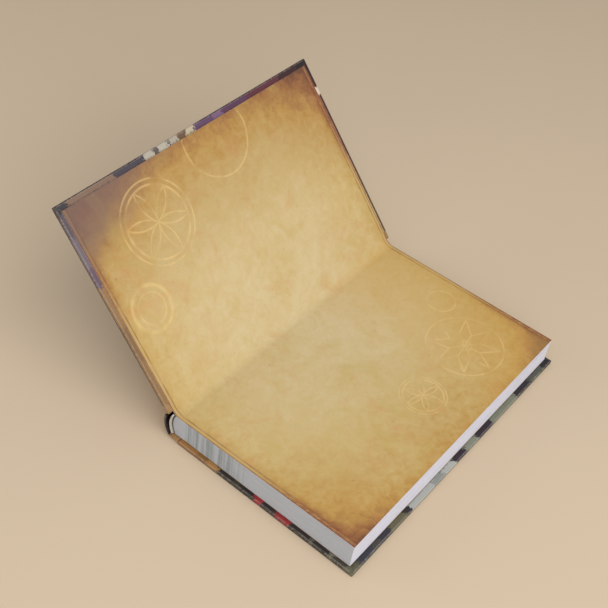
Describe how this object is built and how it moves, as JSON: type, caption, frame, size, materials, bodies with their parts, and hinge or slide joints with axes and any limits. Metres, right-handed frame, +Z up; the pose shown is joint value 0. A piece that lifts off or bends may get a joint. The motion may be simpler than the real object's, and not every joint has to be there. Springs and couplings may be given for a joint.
{
  "type": "book",
  "caption": "Case-bound book with rounded spine, hollow back and illustrated endpapers, lying with its front cover standing open.",
  "frame": {"origin": "centre of the back cover's outer face, where the book rests on a table", "axes": "+X from the spine towards the fore edge, +Y from the tail to the head of the pages, +Z up, out of the table"},
  "size_m": [0.217, 0.2056, 0.1154],
  "materials": {
    "pages": "matte uncoated book paper, cut edges",
    "endpaper": "matte printed paper, aged parchment colours",
    "cover_print": "satin laminated printed paper",
    "greyboard": "matte grey bookbinder's board",
    "inlay_card": "matte card",
    "lining_paper": "matte brown kraft paper",
    "gauze": "open woven cotton gauze",
    "band_cloth": "woven cotton band"
  },
  "bodies": {
    "book_block": {"text_block": "pages", "front_flyleaf": "endpaper", "back_flyleaf": "endpaper", "head_band": "band_cloth", "tail_band": "band_cloth", "spine_gauze": "gauze", "spine_lining": "lining_paper", "spine_inlay": "inlay_card", "spine_cover": "cover_print", "front_joint": "cover_print", "back_joint": "cover_print", "front_gutter": "endpaper", "back_gutter": "endpaper"},
    "front_cover": {"front_board": "greyboard", "front_cover_paper": "cover_print", "front_pastedown": "endpaper"},
    "back_cover": {"back_board": "greyboard", "back_cover_paper": "cover_print", "back_pastedown": "endpaper"}
  },
  "joints": [
    {"name": "front_cover_hinge", "type": "hinge", "parent": "book_block", "child": "front_cover", "pos_m": [-0.06795, 0, 0.01941], "axis": [0, -1, 0], "range_deg": [-131, 48], "deforming": ["front_joint", "front_gutter"]},
    {"name": "back_cover_hinge", "type": "hinge", "parent": "book_block", "child": "back_cover", "pos_m": [-0.06795, 0, 0.00219], "axis": [0, 1, 0], "range_deg": [0, 180], "deforming": ["back_joint", "back_gutter"]}
  ]
}
